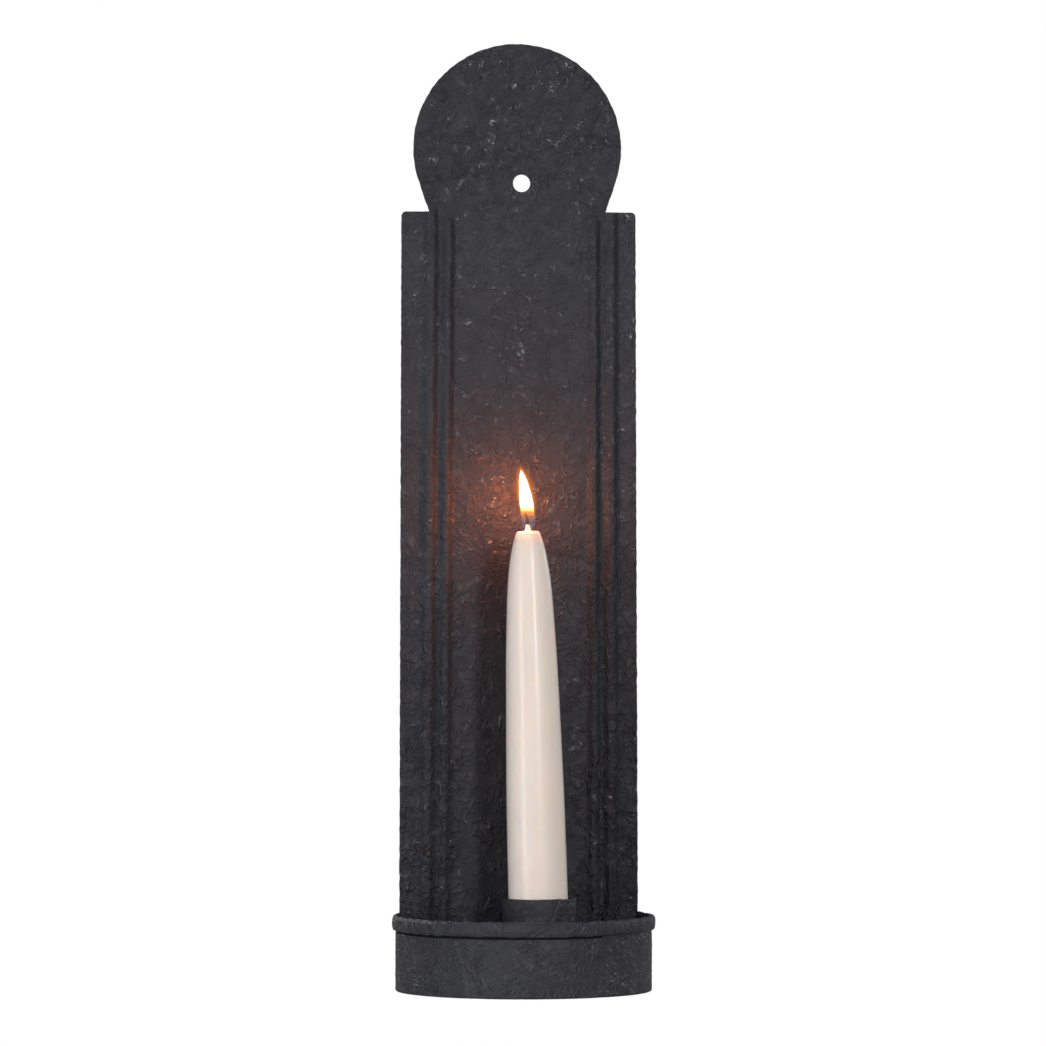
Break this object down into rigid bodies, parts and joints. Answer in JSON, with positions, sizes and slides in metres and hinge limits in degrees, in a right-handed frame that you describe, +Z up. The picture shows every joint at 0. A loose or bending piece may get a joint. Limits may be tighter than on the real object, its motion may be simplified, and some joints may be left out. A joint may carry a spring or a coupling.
{
  "type": "wall sconce candle holder",
  "caption": "Sheet-metal wall sconce: round-headed ribbed back plate with a hanging hole, round-fronted drip tray with a hemmed rim, a candle cup and a lift-out taper candle.",
  "frame": {"origin": "centre of the hanging hole on the wall plane, at the back face of the back plate", "axes": "+X to the viewer's right, -Y out of the wall towards the room, +Z up"},
  "size_m": [0.0984, 0.0662, 0.3556],
  "materials": {
    "textured_paint": "hand-textured charcoal black paint on sheet metal, satin, with fine raised wrinkles",
    "wax": "ivory candle wax, smooth and slightly translucent",
    "wick": "charred braided cotton"
  },
  "bodies": {
    "sconce": {"back_plate": "textured_paint", "tray_band": "textured_paint", "tray_floor": "textured_paint", "candle_cup": "textured_paint", "cup_solder": "textured_paint", "band_solder": "textured_paint", "plate_solder": "textured_paint", "end_solder_left": "textured_paint", "end_solder_right": "textured_paint"},
    "candle": {"candle": "wax", "wick": "wick"}
  },
  "joints": [
    {"name": "candle_lift", "type": "slide", "parent": "sconce", "child": "candle", "axis": [-0.0279, 0, 0.9996], "range_m": [0, 0.045]}
  ]
}
